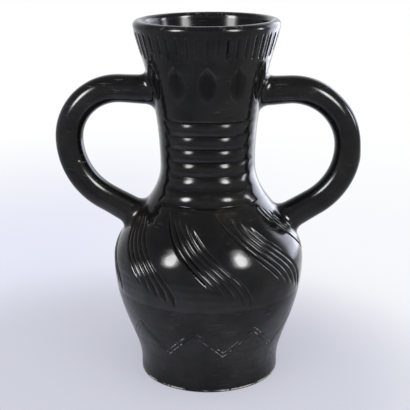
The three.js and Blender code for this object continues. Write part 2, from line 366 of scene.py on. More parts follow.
def rowHeights(low, high, spacingAt):
    heights = [low]
    while heights[-1] < high:
        heights.append(heights[-1] + spacingAt(heights[-1]))
    fit = (high - low) / (heights[-1] - low)
    return [low + (height - low) * fit for height in heights]


def outerRows(low, high, spacingAt, jointLow=False, jointHigh=False):
    heights = rowHeights(low, high, spacingAt)
    closeUp = (0.06 * mm, 0.18 * mm, 0.4 * mm)  # rows that keep the shading even at a joint
    heights += [low + step for step in closeUp] if jointLow else []
    heights += [high - step for step in closeUp] if jointHigh else []
    return [(outerRadius(z), z, 1.0, facingAt(z)) for z in sorted(heights)]


def innerRows(high, low, spacing):
    count = max(2, round((high - low) / spacing))
    rows = []
    for i in range(count + 1):
        height = high + (low - high) * i / count
        rows.append((innerRadius(height), height, -1.0, -facingAt(height)))
    return rows


def plainRow(radius, height):
    return (radius, height, 0.0, Vector((0, 0, 1)))


def seamRows(height, outward):  # the tongue or groove in the middle of a joint face
    tongue = {"width": 3.4 * mm, "depth": 2.4 * mm}
    middle = (outerRadius(height) + innerRadius(height)) / 2
    rows = [
        plainRow(middle + tongue["width"] / 2, height),
        plainRow(middle, height - tongue["depth"]),
        plainRow(middle - tongue["width"] / 2, height),
    ]
    return rows[::-1] if outward else rows


def profileObject(name, rows):
    mesh = bpy.data.meshes.new(name)
    mesh.from_pydata(
        [(radius, 0, height) for radius, height, _, _ in rows],
        [(i, i + 1) for i in range(len(rows) - 1)],
        [],
    )
    along = [0.0]
    for a, b in zip(rows, rows[1:]):
        along.append(along[-1] + math.dist(a[:2], b[:2]))
    for label, kind, field, values in (
        ("along", "FLOAT", "value", along),
        ("face", "FLOAT", "value", [row[2] for row in rows]),
        ("facing", "FLOAT_VECTOR", "vector", [c for row in rows for c in row[3]]),
    ):
        mesh.attributes.new(label, kind, "POINT").data.foreach_set(field, values)
    return addObject(name, mesh)


# Unevenness of a thrown and hand-held pot, the same field for every piece so that joints match

waver = {"slowReach": 0.5 * mm, "slowScale": 13.0, "quickReach": 0.07 * mm, "quickScale": 48.0}
throwing = {
    "pitch": 8.2 * mm,  # of the rings that the fingers left
    "reach": 0.045 * mm,
    "drift": 7.0,  # radians that the rings stray
    "driftScale": 9.0,
    "patchScale": 16.0,
    "patches": (0.35, 0.65),
    "leastShare": 0.25,
}


def handTree():
    tree, given, result = newTree(
        "handWaver",
        "GeometryNodeTree",
        {
            "Slow Reach": waver["slowReach"],
            "Slow Scale": waver["slowScale"],
            "Quick Reach": waver["quickReach"],
            "Quick Scale": waver["quickScale"],
        },
        {"Offset": "Float"},
    )
    place = node(tree, "GeometryNodeInputPosition")
    slow, quick = (
        (noise(place, given[f"{label} Scale"], 1.0) - 0.5) * 2.0 * given[f"{label} Reach"]
        for label in ("Slow", "Quick")
    )
    feed(tree, result.inputs["Offset"], slow + quick)
    return tree


handWaver = handTree()


def handOffset(tree):
    group = tree.nodes.new("GeometryNodeGroup")
    group.node_tree = handWaver
    return Flow(tree, group.outputs["Offset"])


def throwingRings(here):
    drift = noise(here.position, throwing["driftScale"])
    patches = noise(here.position, throwing["patchScale"], 1.0)
    phase = here.height * (fullTurn / throwing["pitch"]) + drift * throwing["drift"]
    share = patches.ramp(*throwing["patches"], throwing["leastShare"], 1.0)
    return phase.math("SINE") * share * throwing["reach"]


# Turning on the wheel: rows of a profile carried round the axis, then cut with the relief

def wheelTree(name, sockets, cutAt, sweepAt=None, shiftAt=None):
    inputs = {"Profile": "Object", "Turns": 480, "Glaze": "Material", **sockets}
    tree, given, result = shapeTree(name, inputs)
    info = node(tree, "GeometryNodeObjectInfo", out="Geometry", Object=given["Profile"])
    rows = node(tree, "GeometryNodeAttributeDomainSize", out="Point Count", Geometry=info)
    shape, column, row = gridOf(tree, given["Turns"] + 1, rows)
    turn = column / given["Turns"]

    def fromRow(label, kind):
        sample = tree.nodes.new("GeometryNodeSampleIndex")
        sample.data_type = kind
        feed(tree, sample.inputs["Geometry"], info)
        feed(tree, sample.inputs["Value"], named(tree, label, kind))
        feed(tree, sample.inputs["Index"], row)
        return Flow(tree, sample.outputs["Value"])

    along = fromRow("along", "FLOAT")
    shape = kept(shape, "along", along)
    shape = kept(shape, "face", fromRow("face", "FLOAT"))
    shape = kept(shape, "facing", fromRow("facing", "FLOAT_VECTOR"), "FLOAT_VECTOR")
    chain = node(tree, "GeometryNodeMeshToCurve", out="Curve", Mesh=info)
    sampled = node(
        tree,
        "GeometryNodeSampleCurve",
        out="Position",
        settings={"mode": "LENGTH"},
        Curves=chain,
        Length=along + shiftAt(given, along, turn) if shiftAt else along,
    )
    radius, _, height = parts(sampled)
    angle = turn * fullTurn
    if sweepAt:
        angle = angle + sweepAt(given, height)
    turned = joined(tree, radius * angle.math("COSINE"), radius * angle.math("SINE"), height)
    shape = welded(moved(shape, Position=turned))

    here = Place(tree)
    cut = cutAt(given, here)
    radius = here.radius.math("MAXIMUM", weld["tree"])
    out = joined(
        tree,
        here.facingOut * here.x / radius,
        here.facingOut * here.y / radius,
        here.facingUp,
    )
    raised = handOffset(tree) * here.face.away() + throwingRings(here) * here.outside() - cut
    shape = kept(shape, "cut", cut / (1 * mm) * here.outside())
    endTree(moved(shape, Offset=out.times(raised)), given, result)
    return tree


# Where a point of the turned wall is, for the trees that cut it
class Place:
    def __init__(self, tree):
        self.tree = tree
        self.position = node(tree, "GeometryNodeInputPosition")
        self.x, self.y, self.height = parts(self.position)
        self.radius = (self.x * self.x + self.y * self.y).math("SQRT")
        self.turn = self.y.math("ARCTAN2", self.x) / fullTurn
        self.sideways = (self.x / self.radius).away()  # sine of the angle from front or back
        self.along = named(tree, "along")
        self.face = named(tree, "face")
        self.facingOut, _, self.facingUp = parts(named(tree, "facing", "FLOAT_VECTOR"))

    def outside(self):
        return self.face.above()

    def inside(self):
        return (self.face * -1.0).above()

    def clearOf(self, points, inner, outer):  # 0 close to a handle's root, 1 away from it
        clear = None
        for point in points:
            away = self.position.vector("DISTANCE", tuple(point)).ramp(inner, outer)
            clear = away if clear is None else clear * away
        return clear


# The bows of the handles, and where their rods meet the wall

bows = {
    "left": {
        "side": -1,
        "reach": 144.5 * mm,
        "height": 257.8 * mm,
        "upperBend": 52 * mm,
        "lowerBend": 74 * mm,
    },
    "right": {
        "side": 1,
        "reach": 147.2 * mm,
        "height": 247.2 * mm,
        "upperBend": 60 * mm,
        "lowerBend": 71 * mm,
    },
}
rod = {
    "radius": 14.5 * mm,
    "rootSwell": 0.9 * mm,  # thicker at the wall
    "swellLength": 0.16,  # share of the rod over which it thickens
    "upperRise": math.radians(3),
    "lowerFall": math.radians(30.5),
    "sunk": 4.0 * mm,  # of the rod in the wall
    "sides": 128,
    "step": 1.5 * mm,
    "deepest": -90 * mm,  # along the rod, from where its bend ends, to look for the wall
    "halvings": 40,
}


def bowLine(bow):
    rise, fall = rod["upperRise"], rod["lowerFall"]
    upperCentre = Vector((bow["reach"] - bow["upperBend"], 0, bow["height"]))
    lowerCentre = Vector((bow["reach"] - bow["lowerBend"], 0, bow["height"]))
    upperOut = Vector((math.cos(rise), 0, math.sin(rise)))
    lowerOut = Vector((math.cos(fall), 0, math.sin(fall)))
    bendStart = upperCentre + bow["upperBend"] * Vector((-math.sin(rise), 0, math.cos(rise)))
    bendEnd = lowerCentre + bow["lowerBend"] * Vector((math.sin(fall), 0, -math.cos(fall)))
    return upperCentre, lowerCentre, upperOut, lowerOut, bendStart, bendEnd


def wallMeeting(start, outward):  # where a line that runs in along the rod meets the wall
    low, high = rod["deepest"], 0.0
    for _ in range(rod["halvings"]):
        middle = (low + high) / 2
        p = start + outward * middle
        if p.x > outerRadius(p.z):
            high = middle
        else:
            low = middle
    return start + outward * high


def mirrored(point, side):
    return Vector((side * point.x, point.y, point.z))


def rootsOf(bow):
    _, _, upperOut, lowerOut, bendStart, bendEnd = bowLine(bow)
    found = {}
    for label, start, outward in (("upper", bendStart, upperOut), ("lower", bendEnd, lowerOut)):
        meeting = wallMeeting(start, outward)
        found[label] = (mirrored(meeting, bow["side"]), mirrored(outward, bow["side"]))
    return found


roots = {name: rootsOf(bow) for name, bow in bows.items()}
lowerRoots = [roots[name]["lower"][0] for name in bows]
rootClear = {"inner": 23 * mm, "outer": 33 * mm}


# Colours and finishes

glazes = {
    "deep": (0.0038, 0.0038, 0.0042, 1),
    "thin": (0.013, 0.0105, 0.0075, 1),
    "chip": (0.6, 0.56, 0.47, 1),
    "scuffed": (0.05, 0.046, 0.042, 1),
    "thinClouds": 0.55,
    "thinEdges": 0.7,
    "coatRoughness": 0.09,
    "glassIndex": 1.5,
    "bareRoughness": 0.5,  # more than the glaze has
    "dullRoughness": 0.25,
    "pinholeRoughness": 0.3,
    "roughest": 0.9,
}
clay = {
    "plain": (0.46, 0.38, 0.29, 1),
    "grog": (0.34, 0.26, 0.19, 1),
    "stain": (0.2, 0.16, 0.13, 1),
    "stained": 0.6,
    "grain": 0.4 * mm,
    "roughness": 0.85,
}

# How fine each pattern in the clay and glaze is, in repeats per metre
fineness = {
    "stainedClay": 24.0,
    "grog": 260.0,
    "pinholePatches": 22.0,
    "glossClouds": 17.0,
    "specks": 160.0,
    "mottling": 46.0,
    "wornPatches": 34.0,
    "grains": 330.0,
    "nicks": 26.0,
    "nickOutline": 70.0,
    "scuffs": 60.0,
}

# Where each pattern sets in and where it is whole, as its own value runs
masks = {
    "grog": (0.3, 0.8),
    "stainedClay": (0.5, 0.75),
    "pinholes": (0.05, 0.09),
    "pinholePatches": (0.56, 0.66),
    "thinClouds": (0.45, 0.75),
    "thinSpecks": (0.35, 0.6),
    "satinClouds": (0.35, 0.7),
    "satinSpecks": (0.3, 0.7),
    "paintedCutShade": (0.2, 2.2),  # depth of the cut in mm, for the painted shade in the cuts
    "mottling": (0.35, 0.65),
    "mouth": (-0.9, -0.1),
    "fleckedCut": (0.15, 0.35),
    "fleckPatches": (0.45, 0.54),
    "fleckGrains": (0.42, 0.52),
    "footPatches": (0.4, 0.5),
    "footGrains": (0.36, 0.46),
    "lipPatches": (0.46, 0.56),
    "lipGrains": (0.5, 0.6),
    "nicks": (0.03, 0.05),
    "nickPatches": (0.48, 0.52),
    "nickGrains": (0.4, 0.5),
    "scuffs": (0.58, 0.7),
    "scuffPatches": (0.48, 0.6),
}
cutEdge = {"low": 0.12, "high": 0.3, "ease": 0.1}  # where a cut begins, as its depth in mm
wearSizes = {
    "footLow": 1.5 * mm,
    "footHigh": 2.5 * mm,
    "footEase": 0.4 * mm,
    "lipBand": 5 * mm,  # below the top of the lip, to where it starts to be rubbed
    "lipWhole": 1.5 * mm,
    "mouthBand": 27 * mm,  # the same for the band of painted shade inside the mouth, where the coat is turned down
    "mouthWhole": 14 * mm,
    "nickBend": 8 * mm,
    "scuffSquash": 9.0,  # scuffs lie level
}


def shaderGroup(name, inputs, outputs):
    tree, given, result = newTree(name, "ShaderNodeTree", inputs, outputs)
    return tree, given, result, objectPlace(tree)


def objectPlace(tree):
    return node(tree, "ShaderNodeTexCoord", out="Object")


def held(tree, label):  # what the mesh holds under a name, for a material
    return node(tree, "ShaderNodeAttribute", out="Fac", settings={"attribute_name": label})


def belowTop(place, label):  # 1 near the pot's top, 0 below the band
    low = potHeight - wearSizes[label + "Band"]
    return parts(place)[2].ramp(low, potHeight - wearSizes[label + "Whole"])


# Fine dimpling of a fired glaze, with a few pinholes
def glazeSkinTree():
    tree, given, result, place = shaderGroup(
        "glazeSkin",
        {
            "Dimple Scale": 420.0,
            "Dimple Depth": 0.02,
            "Ripple Scale": 75.0,
            "Ripple Depth": 0.07,
            "Pinhole Scale": 120.0,
            "Pinhole Depth": 0.5,
        },
        {"Normal": "Vector", "Pinholes": "Float"},
    )
    dimples = noise(place, given["Dimple Scale"])
    ripples = noise(place, given["Ripple Scale"], 1.0)
    cells = node(
        tree, "ShaderNodeTexVoronoi", out="Distance", Vector=place, Scale=given["Pinhole Scale"]
    )
    patches = noise(place, fineness["pinholePatches"])
    pinholes = cells.fall(*masks["pinholes"]) * patches.ramp(*masks["pinholePatches"])
    height = dimples * given["Dimple Depth"] + ripples * given["Ripple Depth"]
    height = height - pinholes * given["Pinhole Depth"]
    bump = node(tree, "ShaderNodeBump", Strength=1.0, Distance=1 * mm, Height=height)
    feed(tree, result.inputs["Normal"], bump)
    feed(tree, result.inputs["Pinholes"], pinholes)
    return tree


# Depth of the glaze: thin and brownish on edges, cloudy in gloss over the wall, with painted shade
# in the cuts and in a band inside the mouth, where the coat is turned down
def glazeToneTree():
    tree, given, result, place = shaderGroup(
        "glazeTone",
        {
            "Deep Colour": glazes["deep"],
            "Thin Colour": glazes["thin"],
            "Gloss": 0.16,
            "Satin": 0.3,
            "Full Coat": 0.55,
            "Painted Cut Shade": 0.75,
            "Mottling": 0.4,
            "Mouth Rub": 0.0,
        },
        {"Colour": "Color", "Roughness": "Float", "Coat": "Float"},
    )
    clouds = noise(place, fineness["glossClouds"], 4.0)
    specks = noise(place, fineness["specks"], 3.0)
    cut = held(tree, "cut")
    edge = between(cut, **cutEdge) * specks.ramp(*masks["thinSpecks"])
    thin = clouds.ramp(*masks["thinClouds"]) * glazes["thinClouds"] + edge * glazes["thinEdges"]
    colour = mixColour(tree, thin, given["Deep Colour"], given["Thin Colour"])
    spread = given["Satin"] - given["Gloss"]
    satin = clouds.ramp(*masks["satinClouds"]) * specks.ramp(*masks["satinSpecks"])
    roughness = given["Gloss"] + spread * satin
    # painted shade: the coat is turned down in the deeper cuts, so that they read darker
    paintedCutShading = cut.ramp(*masks["paintedCutShade"]) * given["Painted Cut Shade"]
    mottled = noise(place, fineness["mottling"], 5.0).ramp(*masks["mottling"])
    # painted shade: the coat is turned down on the upper inside of the mouth, dimming the lamps'
    # reflection there
    mouth = belowTop(place, "mouth") * held(tree, "face").fall(*masks["mouth"])
    coat = given["Full Coat"] * paintedCutShading.flipped() * (mottled * given["Mottling"]).flipped()
    coat = coat * (mouth * given["Mouth Rub"]).flipped()
    feed(tree, result.inputs["Colour"], colour)
    feed(tree, result.inputs["Roughness"], roughness)
    feed(tree, result.inputs["Coat"], coat)
    return tree


def mixColour(tree, share, first, second):
    mix = tree.nodes.new("ShaderNodeMix")
    mix.data_type = "RGBA"
    mix.clamp_factor = True
    places = [place for place in mix.inputs if place.enabled]
    for place, value in zip(places, (share, first, second)):
        feed(tree, place, value)
    out = next(place for place in mix.outputs if place.enabled)
    return Flow(tree, out)


# Where the glaze has gone: flecks along the cuts, nicks, and the rubbed edges of foot and lip
def wearTree():
    tree, given, result, place = shaderGroup(
        "wear",
        {"Cut Wear": 0.0, "Foot Wear": 0.0, "Lip Wear": 0.0, "Nicks": 0.0, "Scuffs": 0.0},
        {"Bare": "Float", "Dull": "Float"},
    )
    height = parts(place)[2]
    patches = noise(place, fineness["wornPatches"])
    grains = noise(place, fineness["grains"], 3.0)

    def worn(label):
        return patches.ramp(*masks[label + "Patches"]) * grains.ramp(*masks[label + "Grains"])

    along = held(tree, "cut").ramp(*masks["fleckedCut"]) * worn("fleck")
    foot = between(height, wearSizes["footLow"], wearSizes["footHigh"], wearSizes["footEase"])
    rubbed = belowTop(place, "lip") * worn("lip")
    bend = noise(place, fineness["nickOutline"], out="Color").times(wearSizes["nickBend"])
    cells = node(
        tree,
        "ShaderNodeTexVoronoi",
        out="Distance",
        Vector=place.vector("ADD", bend),
        Scale=fineness["nicks"],
    )
    nicks = cells.fall(*masks["nicks"]) * worn("nick")
    bare = along * given["Cut Wear"] + foot * worn("foot") * given["Foot Wear"]
    bare = bare + nicks * given["Nicks"]
    squashed = node(
        tree, "ShaderNodeMapping", Vector=place, Scale=(1.0, 1.0, wearSizes["scuffSquash"])
    )
    scuffs = noise(squashed, fineness["scuffs"], 5.0)
    dull = scuffs.ramp(*masks["scuffs"]) * patches.ramp(*masks["scuffPatches"]) * given["Scuffs"]
    dull = dull + rubbed * given["Lip Wear"]
    feed(tree, result.inputs["Bare"], bare.math("MINIMUM", 1.0))
    feed(tree, result.inputs["Dull"], dull)
    return tree


glazeSkin = glazeSkinTree()
glazeTone = glazeToneTree()
wear = wearTree()


# What a group gives, by name
def fromGroup(tree, group, **values):
    made = tree.nodes.new("ShaderNodeGroup")
    made.node_tree = group
    for label, value in values.items():
        feed(tree, made.inputs[label.replace("_", " ")], value)
    return {out.name: Flow(tree, out) for out in made.outputs}


def newMaterial(name):
    material = bpy.data.materials.new(name)
    material.use_nodes = True
    tree = material.node_tree
    return material, tree, tree.nodes["Principled BSDF"]


def glazeMaterial(name, gloss, satin, coat=0.7, mirror=0.2, paintedMouthShade=0.0, **worn):
    material, tree, shader = newMaterial(name)
    skin = fromGroup(tree, glazeSkin)
    tone = fromGroup(
        tree, glazeTone, Gloss=gloss, Satin=satin, Full_Coat=coat, Mouth_Rub=paintedMouthShade
    )
    marks = fromGroup(tree, wear, **worn)
    bare, dull = marks["Bare"], marks["Dull"]
    colour = mixColour(tree, dull, tone["Colour"], glazes["scuffed"])
    colour = mixColour(tree, bare, colour, glazes["chip"])
    roughness = tone["Roughness"] + bare * glazes["bareRoughness"]
    roughness = roughness + dull * glazes["dullRoughness"]
    roughness = roughness + skin["Pinholes"] * glazes["pinholeRoughness"]
    feed(tree, shader.inputs["Base Color"], colour)
    feed(tree, shader.inputs["Roughness"], roughness.math("MINIMUM", glazes["roughest"]))
    feed(tree, shader.inputs["Normal"], skin["Normal"])
    feed(tree, shader.inputs["Coat Weight"], bare.flipped() * tone["Coat"])
    shader.inputs["Coat Roughness"].default_value = glazes["coatRoughness"]
    shader.inputs["Specular IOR Level"].default_value = mirror
    shader.inputs["IOR"].default_value = glazes["glassIndex"]
    return material


def clayMaterial(name):
    material, tree, shader = newMaterial(name)
    place = objectPlace(tree)
    grog = noise(place, fineness["grog"], 4.0)
    stains = noise(place, fineness["stainedClay"], 3.0).ramp(*masks["stainedClay"]) * clay["stained"]
    colour = mixColour(tree, grog.ramp(*masks["grog"]), clay["plain"], clay["grog"])
    colour = mixColour(tree, stains, colour, clay["stain"])
    bump = node(tree, "ShaderNodeBump", Strength=0.6, Distance=clay["grain"], Height=grog)
    feed(tree, shader.inputs["Base Color"], colour)
    feed(tree, shader.inputs["Normal"], bump)
    shader.inputs["Roughness"].default_value = clay["roughness"]
    return material


# the neck's glaze carries the painted shade inside the mouth
neckGlaze = glazeMaterial(
    "neckGlaze", 0.16, 0.28, paintedMouthShade=0.75, Lip_Wear=1.0, Nicks=0.4, Scuffs=0.3
)
shoulderGlaze = glazeMaterial("shoulderGlaze", 0.15, 0.26, Nicks=0.4, Scuffs=0.3)
baseGlaze = glazeMaterial(
    "baseGlaze", 0.2, 0.36, 0.5, 0.14, Cut_Wear=1.0, Foot_Wear=1.0, Nicks=0.7, Scuffs=0.5
)
handleGlaze = glazeMaterial("handleGlaze", 0.16, 0.28, Nicks=0.9, Scuffs=0.8)
insideGlaze = glazeMaterial("insideGlaze", 0.2, 0.3, Scuffs=0.3)
bareClay = clayMaterial("bareClay")
print("glazes mixed")


# Neck: pressed ribs from the seam up, a band of hollowed leaves, short strokes under the lip

neckCut = {
    "turns": 504,
    "lipSteps": 16,
    "innerStep": 8 * mm,
    "ribPitch": 13.8 * mm,
    "ribDepth": 2.2 * mm,
    "ribRoundness": 0.95,
    "ribCount": 5,  # grooves above the seam
    "ribEase": 4.5 * mm,
    "ribDrift": 0.8 * mm,
    "ribDriftScale": 19.0,
    "panelDrift": 90.0,  # of the panel's edges, per metre that the ribs drift
    "panelFull": 0.62,  # sine of the angle from the front, up to where the ribs are whole
    "panelEnd": 0.9,
    "leafPlaces": 12,  # those in line with the handles are left plain
    "leavesFull": 0.95,
    "leavesEnd": 0.97,
    "leafHeight": 321 * mm,
    "leafHalfHeight": 20 * mm,
    "leafHalfWidth": 10 * mm,
    "leafDepth": 1.6 * mm,  # at the middle line, half way up
    "leafEdge": 1.0 * mm,
    "edgeWidth": 1.7 * mm,
    "edgeFade": 10 * mm,  # towards the two tips
    "veinDepth": 0.65 * mm,
    "veinLine": 1.5 * mm,  # half the width of the cut
    "veinShort": 11 * mm,
    "veinFade": 9 * mm,
    "strokeCount": 44,
    "strokeSeed": 0.37,
    "strokeLow": 353 * mm,
    "strokeHigh": 367 * mm,
    "strokeEase": 3 * mm,
    "strokeStagger": 8 * mm,  # the longest reach this much lower than the shortest
    "strokeSway": 1.4 * mm,
    "strokeDepth": 1.7 * mm,
    "strokeVary": 0.4,  # share of the depth that is left to chance
    "strokeLine": 1.9 * mm,
    "burr": 0.3 * mm,  # clay pushed up on both sides
    "burrNear": 2.7 * mm,
    "burrFar": 3.1 * mm,
    "burrEase": 1.1 * mm,
    "ringPitch": 7.5 * mm,  # of the rings that throwing left inside
    "ringDepth": 0.15 * mm,
    "ringsFull": 330 * mm,
    "ringsEnd": 360 * mm,
}

# Row spacing, and how far the close rows go past the ribs and the leaves, in mm
neckRows = {
    "groove": 0.5,
    "ribMore": 1.3,
    "leaves": 0.85,
    "plain": 1.7,
    "pastRibs": 5,
    "pastLeaves": 2,
}
ribSockets = {"Rib Depth": neckCut["ribDepth"], "Rib Roundness": neckCut["ribRoundness"]}


def ribCut(given, here, low, high):
    cloud = noise(here.position, neckCut["ribDriftScale"], 1.0)
    drift = (cloud - 0.5) * neckCut["ribDrift"] * 2.0
    height = here.height + drift
    wave = ((height - neckSeam) * (math.pi / neckCut["ribPitch"])).math("SINE").away()
    bands = (wave ** given["Rib Roundness"]).flipped()
    sideways = here.sideways + drift * neckCut["panelDrift"]
    panel = sideways.fall(neckCut["panelFull"], neckCut["panelEnd"])
    return bands * given["Rib Depth"] * panel * between(height, low, high, neckCut["ribEase"])


def lineCut(distance, halfWidth, depth):  # a soft V along a line
    return distance.away().fall(0.0, halfWidth) * depth


def leafCut(given, here):  # a leaf is where two round bows overlap
    turn = (here.turn * neckCut["leafPlaces"] + 0.5).math("FRACT") - 0.5
    side = turn * here.radius * (fullTurn / neckCut["leafPlaces"])
    rise = here.height - neckCut["leafHeight"]
    high, wide = neckCut["leafHalfHeight"], neckCut["leafHalfWidth"]
    bow = (high * high + wide * wide) / (2 * wide)
    halfWidth = (rise * rise * -1.0 + bow * bow).above().math("SQRT") - (bow - wide)
    inside = (halfWidth - side.away()).above()
    edgeEnd = high - neckCut["edgeFade"]
    edge = inside.ramp(0.0, neckCut["edgeWidth"]) * neckCut["leafEdge"]
    edge = edge * between(rise, -edgeEnd, edgeEnd, neckCut["edgeFade"])
    veinEnd = high - neckCut["veinShort"]
    vein = lineCut(side, neckCut["veinLine"], neckCut["veinDepth"])
    vein = vein * between(rise, -veinEnd, veinEnd, neckCut["veinFade"])
    leaf = inside * (given["Leaf Depth"] / wide) + edge + vein
    return leaf * here.sideways.fall(neckCut["leavesFull"], neckCut["leavesEnd"])


def strokeCut(given, here):
    count = neckCut["strokeCount"]
    turn = here.turn * count + 0.5
    side = (turn.math("FRACT") - 0.5) * here.radius * (fullTurn / count)
    number = turn.math("FLOOR").math("FLOORED_MODULO", float(count))
    chance = node(
        here.tree,
        "ShaderNodeTexWhiteNoise",
        out="Color",
        settings={"noise_dimensions": "1D"},
        W=number + neckCut["strokeSeed"],
    )
    longer, deeper, aside = parts(chance)
    side = side + (aside - 0.5) * neckCut["strokeSway"]
    low = longer * -neckCut["strokeStagger"] + neckCut["strokeLow"]
    shown = between(here.height, low, neckCut["strokeHigh"], neckCut["strokeEase"])
    burr = between(side.away(), neckCut["burrNear"], neckCut["burrFar"], neckCut["burrEase"])
    cut = lineCut(side, neckCut["strokeLine"], given["Stroke Depth"]) - burr * neckCut["burr"]
    return cut * shown * (deeper * neckCut["strokeVary"] + (1 - neckCut["strokeVary"]))


def neckReliefs(given, here):
    last = neckSeam + neckCut["ribCount"] * neckCut["ribPitch"]
    cut = ribCut(given, here, neckSeam - neckCut["ribPitch"], last)
    cut = cut + leafCut(given, here) + strokeCut(given, here)
    rings = (here.height * (fullTurn / neckCut["ringPitch"])).math("SINE") * given["Throwing Rings"]
    deep = here.height.fall(neckCut["ringsFull"], neckCut["ringsEnd"])
    return cut * here.outside() + rings * here.inside() * deep


neckTree = wheelTree(
    "neckTurning",
    {
        **ribSockets,
        "Leaf Depth": neckCut["leafDepth"],
        "Stroke Depth": neckCut["strokeDepth"],
        "Throwing Rings": neckCut["ringDepth"],
    },
    neckReliefs,
)


def ribPhase(height):  # 0 in a groove, 1 half way to the next
    return abs(math.sin(math.pi * (height - neckSeam) / neckCut["ribPitch"]))


def neckSpacing(height):
    ribTop = neckSeam + neckCut["ribCount"] * neckCut["ribPitch"] + neckRows["pastRibs"] * mm
    if height < ribTop:
        return (neckRows["groove"] + neckRows["ribMore"] * ribPhase(height)) * mm
    leafTop = neckCut["leafHeight"] + neckCut["leafHalfHeight"] + neckRows["pastLeaves"] * mm
    return neckRows["leaves" if height < leafTop else "plain"] * mm


def makeNeck():
    rows = outerRows(neckSeam, underLipHeight, neckSpacing, jointLow=True)
    for i in range(1, neckCut["lipSteps"]):
        angle = -flareAngle + (math.pi + 2 * flareAngle) * i / neckCut["lipSteps"]
        p = onLip(angle)
        rows.append((p.x, p.z, 0.0, Vector((math.cos(angle), 0, math.sin(angle)))))
    innerTop = onLip(math.pi + flareAngle)
    rows += innerRows(innerTop.z, neckSeam, neckCut["innerStep"])
    rows += seamRows(neckSeam, outward=True)
    rows.append(rows[0])
    return turnSection("neckSection", rows, neckTree, neckCut["turns"], neckGlaze)


def turnSection(name, rows, tree, turns, glaze, **more):
    profile = profileObject(name + "Profile", rows)
    blank = addObject(name + "Blank", bpy.data.meshes.new(name + "Blank"))
    values = {"Profile": profile, "Turns": turns, "Glaze": glaze}
    for label, value in more.items():
        values[label.replace("_", " ")] = value
    addModifier(blank, tree, values)
    piece = bake(blank, name)
    bpy.data.objects.remove(profile)
    return piece


neckPiece = makeNeck()
finishPiece(neckPiece, "neck_section")


# Shoulder and belly: bundles of slanting flutes with plain wall between them

fluteCut = {
    "turns": 640,
    "innerStep": 7 * mm,
    "bundles": 8,
    "flutes": 5,  # cuts in a bundle
    "pitchShare": 1 / 9,  # of a bundle's turn, from cut to cut
    "bundleEase": 0.45,  # of that pitch
    "roundness": 0.8,
    "depth": 2.0 * mm,
    "high": 195 * mm,
    "low": 124 * mm,
    "highEase": 16 * mm,
    "lowEase": 14 * mm,
    "stagger": 5 * mm,  # each cut ends this much lower than the last
    "highStagger": 3 * mm,  # and starts this much lower
    "sweep": fullTurn / 8,
    "sweepHigh": 207 * mm,
    "sweepLow": 105 * mm,
    "closeReach": 1.4,  # of the rows for the ribs below the seam, in pitches of the ribs
}
shoulderRows = {"groove": 0.5, "ribMore": 1.0, "plain": 1.0}  # row spacing in mm


def fluteSweep(given, height):
    return height.ramp(fluteCut["sweepLow"], fluteCut["sweepHigh"], fluteCut["sweep"], 0.0)


def shoulderReliefs(given, here):
    swept = here.turn - fluteSweep(given, here.height) / fullTurn
    bundleTurn = (swept * fluteCut["bundles"]).math("FRACT") / fluteCut["pitchShare"]
    wave = (bundleTurn * math.pi).math("SINE").away()
    pillows = (wave ** given["Flute Roundness"]).flipped()
    inBundle = between(bundleTurn, 1.0, float(fluteCut["flutes"]), fluteCut["bundleEase"])
    number = (bundleTurn - 0.5).math("FLOOR")
    low = number * -fluteCut["stagger"] + (fluteCut["low"] + 2 * fluteCut["stagger"])
    high = number * -fluteCut["highStagger"] + fluteCut["high"]
    run = here.height.ramp(low - fluteCut["lowEase"], low)
    run = run * here.height.fall(high - fluteCut["highEase"], high)
    flutes = pillows * given["Flute Depth"] * inBundle * run
    flutes = flutes * here.clearOf(lowerRoots, rootClear["inner"], rootClear["outer"])
    ribs = ribCut(given, here, neckSeam - neckCut["ribPitch"], neckSeam + neckCut["ribPitch"])
    return (flutes + ribs) * here.outside()


shoulderTree = wheelTree(
    "shoulderTurning",
    {**ribSockets, "Flute Depth": fluteCut["depth"], "Flute Roundness": fluteCut["roundness"]},
    shoulderReliefs,
    sweepAt=fluteSweep,
)


def shoulderSpacing(height):
    if height > neckSeam - fluteCut["closeReach"] * neckCut["ribPitch"]:
        return (shoulderRows["groove"] + shoulderRows["ribMore"] * ribPhase(height)) * mm
    return shoulderRows["plain"] * mm


def makeShoulder():
    rows = outerRows(girthSeam, neckSeam, shoulderSpacing, jointLow=True, jointHigh=True)
    rows += seamRows(neckSeam, outward=False)
    rows += innerRows(neckSeam, girthSeam, fluteCut["innerStep"])
    rows += seamRows(girthSeam, outward=True)
    rows.append(rows[0])
    return turnSection("shoulderSection", rows, shoulderTree, fluteCut["turns"], shoulderGlaze)


shoulderPiece = makeShoulder()
finishPiece(shoulderPiece, "shoulder_section")


# Base: a fine zigzag of two lines round the lower wall, a bevelled foot, a recess underneath

baseCut = {
    "turns": 520,
    "innerStep": 6 * mm,
    "zigzags": 9,
    "rise": 15 * mm,
    "middle": 60 * mm,
    "fade": 37 * mm,  # along the wall, to where the rows run level again
    "fadeWhole": 5 * mm,
    "lineGap": 5.5 * mm,
    "line": 0.8 * mm,
    "depth": 0.65 * mm,
    "floor": 9 * mm,
    "recess": 3 * mm,
    "ringWidth": 10 * mm,
    "bevel": 1.2 * mm,
    "fillet": 12 * mm,
    "bareHeight": 0.15 * mm,
}
baseRows = {
    "fine": 0.42 * mm,
    "fineReach": 5 * mm,  # above and below the middle of the zigzag
    "growth": 0.12,
    "coarse": 1.9 * mm,
    "ringInner": 3 * mm,  # rows on the foot ring's face, this far from its edges
    "ringOuter": 2 * mm,
    "smallArc": 4,
    "filletArc": 8,
}


def baseAlong(rows, height):  # how far along the profile the outer wall reaches a height
    along = 0.0
    for a, b in zip(rows, rows[1:]):
        if a[2] == 1.0 and b[2] == 1.0 and a[1] <= height <= b[1]:
            return along + math.dist(a[:2], b[:2]) * (height - a[1]) / (b[1] - a[1])
        along += math.dist(a[:2], b[:2])
    return along


